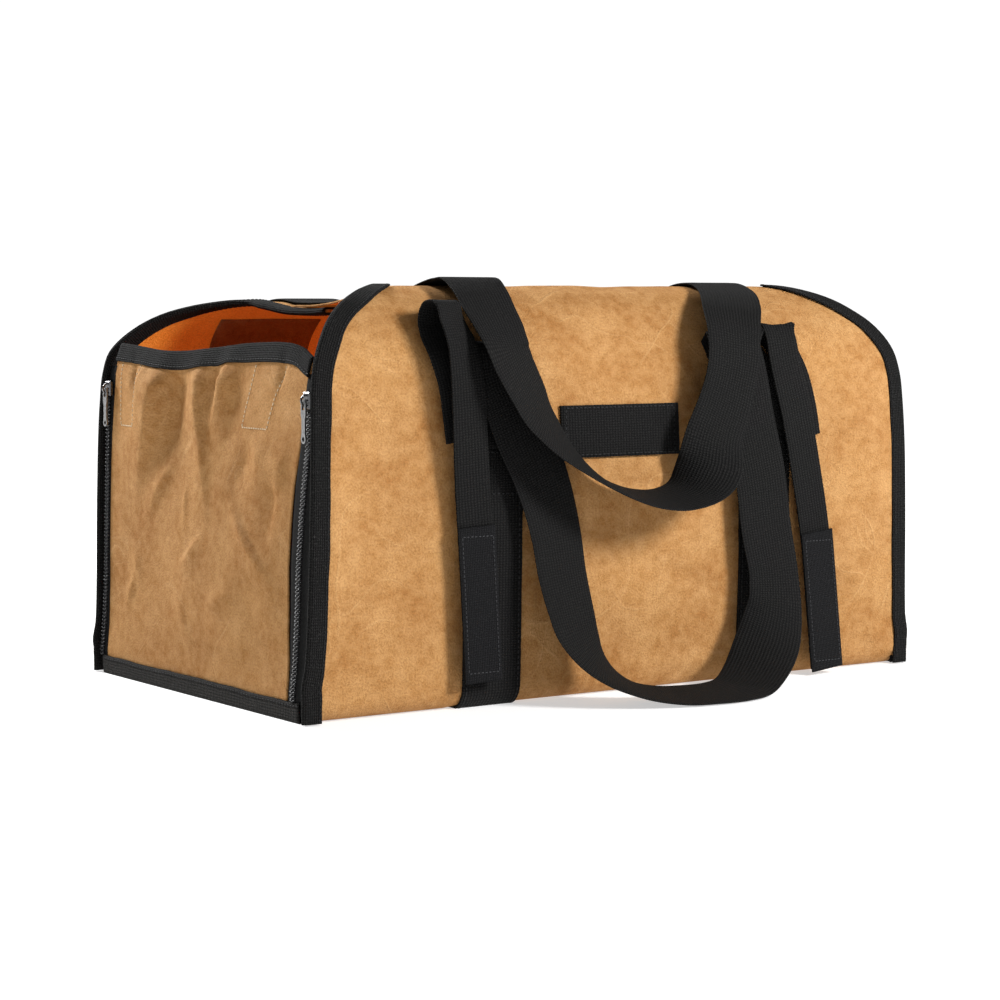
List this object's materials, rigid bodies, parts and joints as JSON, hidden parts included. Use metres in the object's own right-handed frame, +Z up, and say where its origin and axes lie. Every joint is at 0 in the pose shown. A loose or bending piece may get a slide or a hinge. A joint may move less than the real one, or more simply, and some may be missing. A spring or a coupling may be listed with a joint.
{
  "type": "canvas log carrier",
  "caption": "Open-ended wrapped canvas carrier for firewood with webbing handles, zip-in end panels and straps that close over the top.",
  "frame": {"origin": "middle of the bottom, on the floor", "axes": "+X along the carrier, -Y out of the front wall where both handles hang, +Z up"},
  "size_m": [0.569, 0.4268, 0.312],
  "materials": {
    "canvas": "waxed, matte",
    "dark_canvas": "matte",
    "webbing": "ribbed weave",
    "edge_tape": "grainy weave",
    "hook_strip": "fine hooks",
    "zip_teeth": "matte",
    "zip_metal": "satin"
  },
  "bodies": {
    "carrier": {"canvas_body": "canvas", "strap_left": "webbing", "strap_right": "webbing", "edge_binding_left_front": "edge_tape", "edge_binding_left_back": "edge_tape", "edge_binding_right_front": "edge_tape", "edge_binding_right_back": "edge_tape", "end_panel_left": "canvas", "end_panel_right": "canvas", "panel_top_binding_left": "edge_tape", "panel_top_binding_right": "edge_tape", "panel_bottom_binding_left": "edge_tape", "panel_bottom_binding_right": "edge_tape", "zip_tape_left_front": "edge_tape", "zip_tape_left_back": "edge_tape", "zip_tape_right_front": "edge_tape", "zip_tape_right_back": "edge_tape", "zip_chain_left_front": "zip_teeth", "zip_chain_left_back": "zip_teeth", "zip_chain_right_front": "zip_teeth", "zip_chain_right_back": "zip_teeth", "zip_slider_left_front": "zip_metal", "zip_slider_left_back": "zip_metal", "zip_slider_right_front": "zip_metal", "zip_slider_right_back": "zip_metal", "front_patch": "webbing", "reinforcement_patch": "dark_canvas", "front_handle": "webbing", "back_handle": "webbing", "closure_strap_left": "webbing", "closure_strap_right": "webbing", "hook_patch_left": "hook_strip", "hook_patch_right": "hook_strip"},
    "pull_left_front": {"zip_pull_left_front": "zip_metal"},
    "pull_left_back": {"zip_pull_left_back": "zip_metal"},
    "pull_right_front": {"zip_pull_right_front": "zip_metal"},
    "pull_right_back": {"zip_pull_right_back": "zip_metal"}
  },
  "joints": [
    {"name": "pull_swing_left_front", "type": "hinge", "parent": "carrier", "child": "pull_left_front", "pos_m": [-0.27648, -0.1552, 0.2255], "axis": [0, 1, 0], "range_deg": [0, 150]},
    {"name": "pull_swing_left_back", "type": "hinge", "parent": "carrier", "child": "pull_left_back", "pos_m": [-0.27648, 0.1552, 0.2255], "axis": [0, 1, 0], "range_deg": [0, 150]},
    {"name": "pull_swing_right_front", "type": "hinge", "parent": "carrier", "child": "pull_right_front", "pos_m": [0.27648, -0.1552, 0.2255], "axis": [0, -1, 0], "range_deg": [0, 150]},
    {"name": "pull_swing_right_back", "type": "hinge", "parent": "carrier", "child": "pull_right_back", "pos_m": [0.27648, 0.1552, 0.2255], "axis": [0, -1, 0], "range_deg": [0, 150]}
  ]
}
